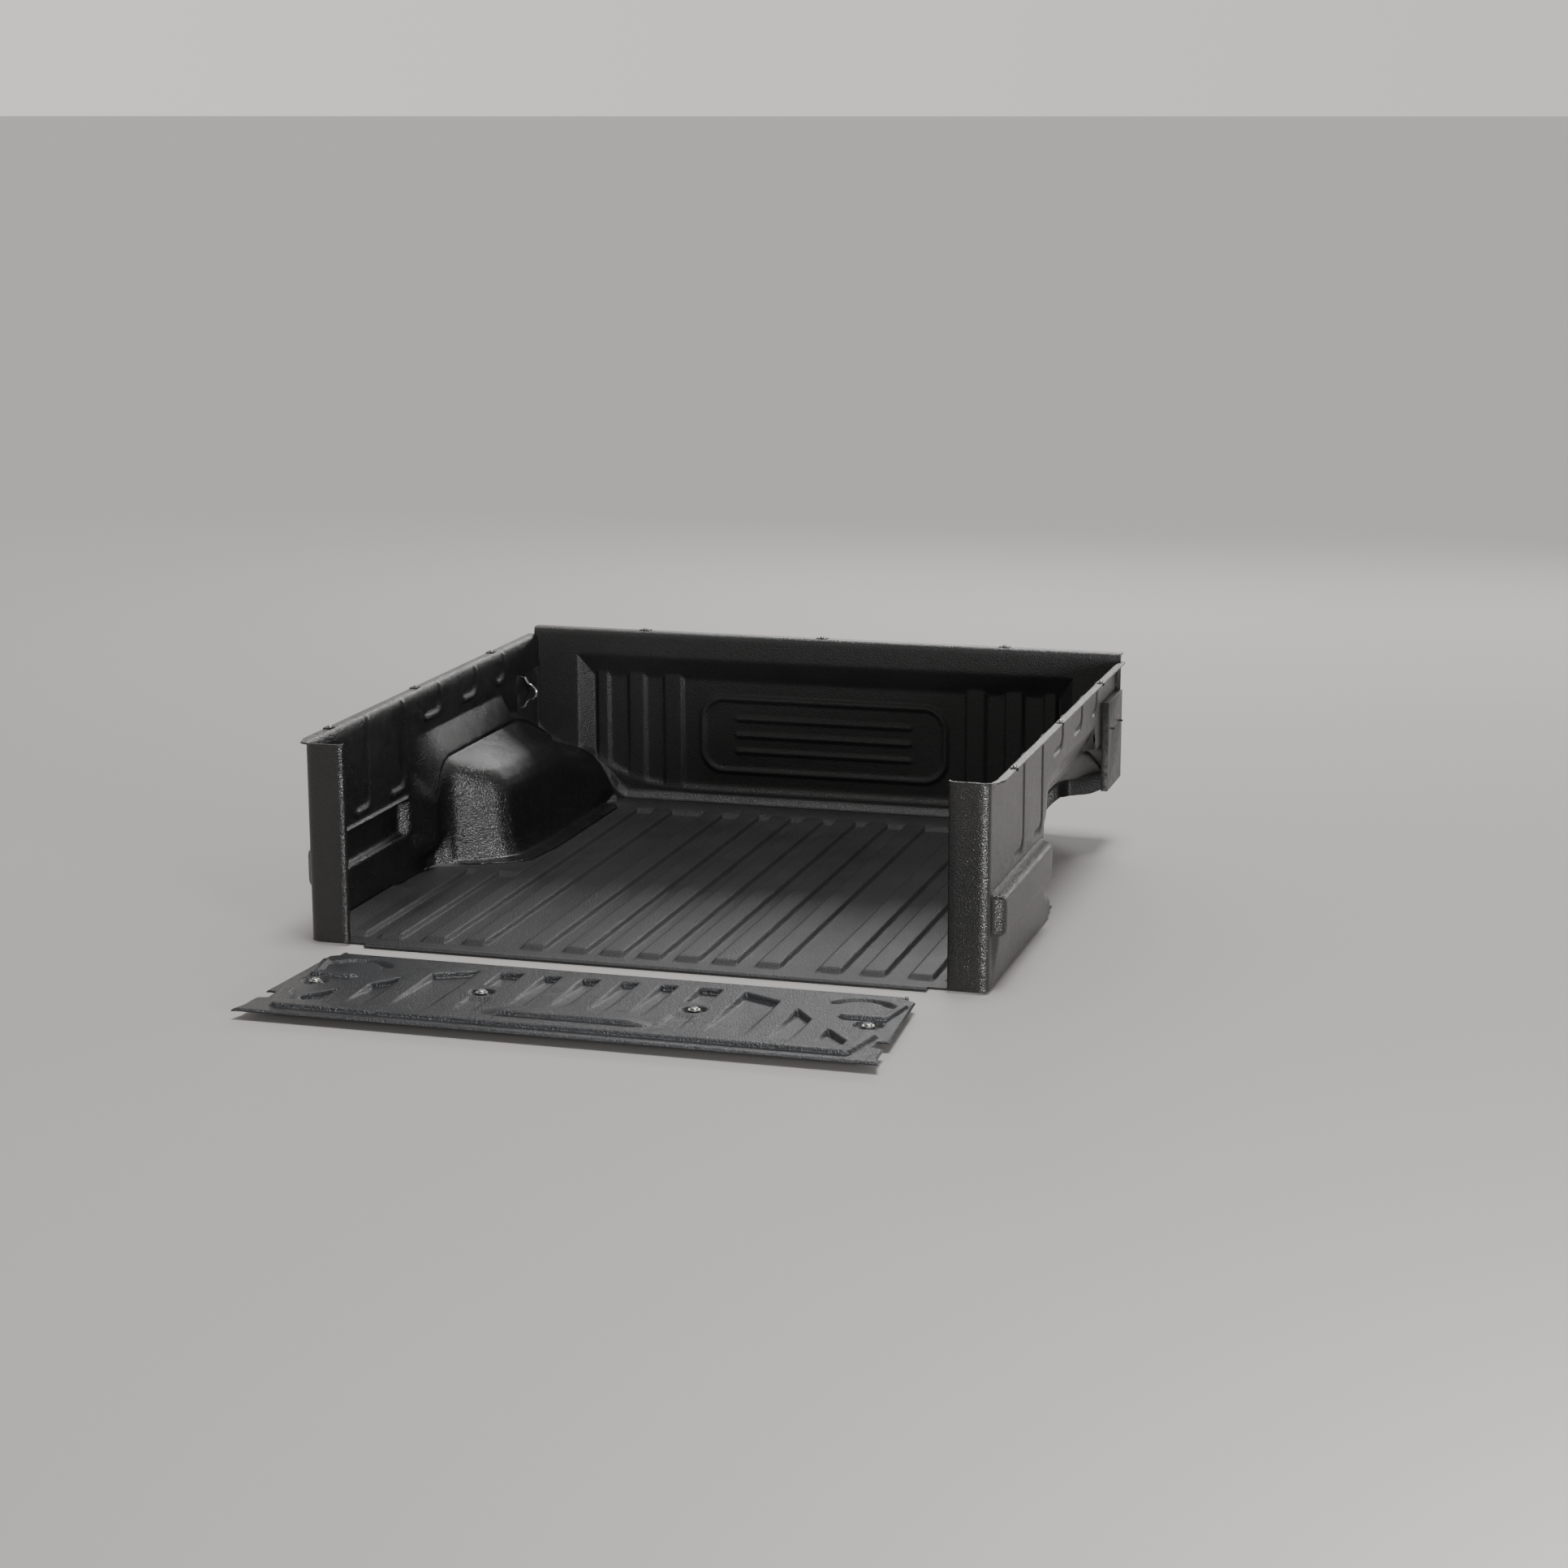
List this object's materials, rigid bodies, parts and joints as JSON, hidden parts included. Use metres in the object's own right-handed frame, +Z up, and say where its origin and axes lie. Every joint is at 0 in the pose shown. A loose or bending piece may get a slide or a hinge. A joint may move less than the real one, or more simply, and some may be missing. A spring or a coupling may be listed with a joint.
{
  "type": "truck bed liner",
  "caption": "Moulded under-rail bed liner: ribbed floor, recessed front wall, side liners with wheel-arch covers, swinging tailgate liner, tie-down hooks, rail clips and bolts.",
  "frame": {"origin": "underside of the floor liner, in the middle of the flat strip along its rear edge", "axes": "+X to the truck's right, +Y forward to the cab, +Z up"},
  "size_m": [1.6626, 2.1705, 0.5004],
  "materials": {
    "black_plastic": "fine pebble grain, matte black",
    "gate_plastic": "fine pebble grain, charcoal",
    "zinc": "zinc plated",
    "chrome": "polished",
    "black_steel": "black, satin"
  },
  "bodies": {
    "bed": {"floor_liner": "black_plastic", "front_wall_liner": "black_plastic", "hook_pocket_left": "black_steel", "hook_pocket_right": "black_steel", "hook_screw_left_1": "black_steel", "hook_screw_left_2": "black_steel", "hook_screw_right_1": "black_steel", "hook_screw_right_2": "black_steel", "rail_clip_front_1": "black_steel", "rail_clip_front_2": "black_steel", "rail_clip_front_3": "black_steel", "rail_clip_left_1": "black_steel", "rail_clip_left_2": "black_steel", "rail_clip_left_3": "black_steel", "rail_clip_right_1": "black_steel", "rail_clip_right_2": "black_steel", "rail_clip_right_3": "black_steel", "rail_screw_front_1": "zinc", "rail_screw_front_2": "zinc", "rail_screw_front_3": "zinc", "rail_screw_left_1": "zinc", "rail_screw_left_2": "zinc", "rail_screw_left_3": "zinc", "rail_screw_right_1": "zinc", "rail_screw_right_2": "zinc", "rail_screw_right_3": "zinc", "side_liner_left": "black_plastic", "side_liner_right": "black_plastic", "tie_down_hook_left": "chrome", "tie_down_hook_right": "chrome"},
    "tailgate": {"gate_bolt_inner_left": "zinc", "gate_bolt_inner_right": "zinc", "gate_bolt_outer_left": "zinc", "gate_bolt_outer_right": "zinc", "gate_nut_inner_left": "zinc", "gate_nut_inner_right": "zinc", "gate_nut_outer_left": "zinc", "gate_nut_outer_right": "zinc", "gate_washer_inner_left": "zinc", "gate_washer_inner_right": "zinc", "gate_washer_outer_left": "zinc", "gate_washer_outer_right": "zinc", "tailgate_liner": "gate_plastic"}
  },
  "joints": [
    {"name": "tailgate_swing", "type": "hinge", "parent": "bed", "child": "tailgate", "pos_m": [0, -0.11, -0.016], "axis": [-1, 0, 0], "range_deg": [0, 90]}
  ]
}
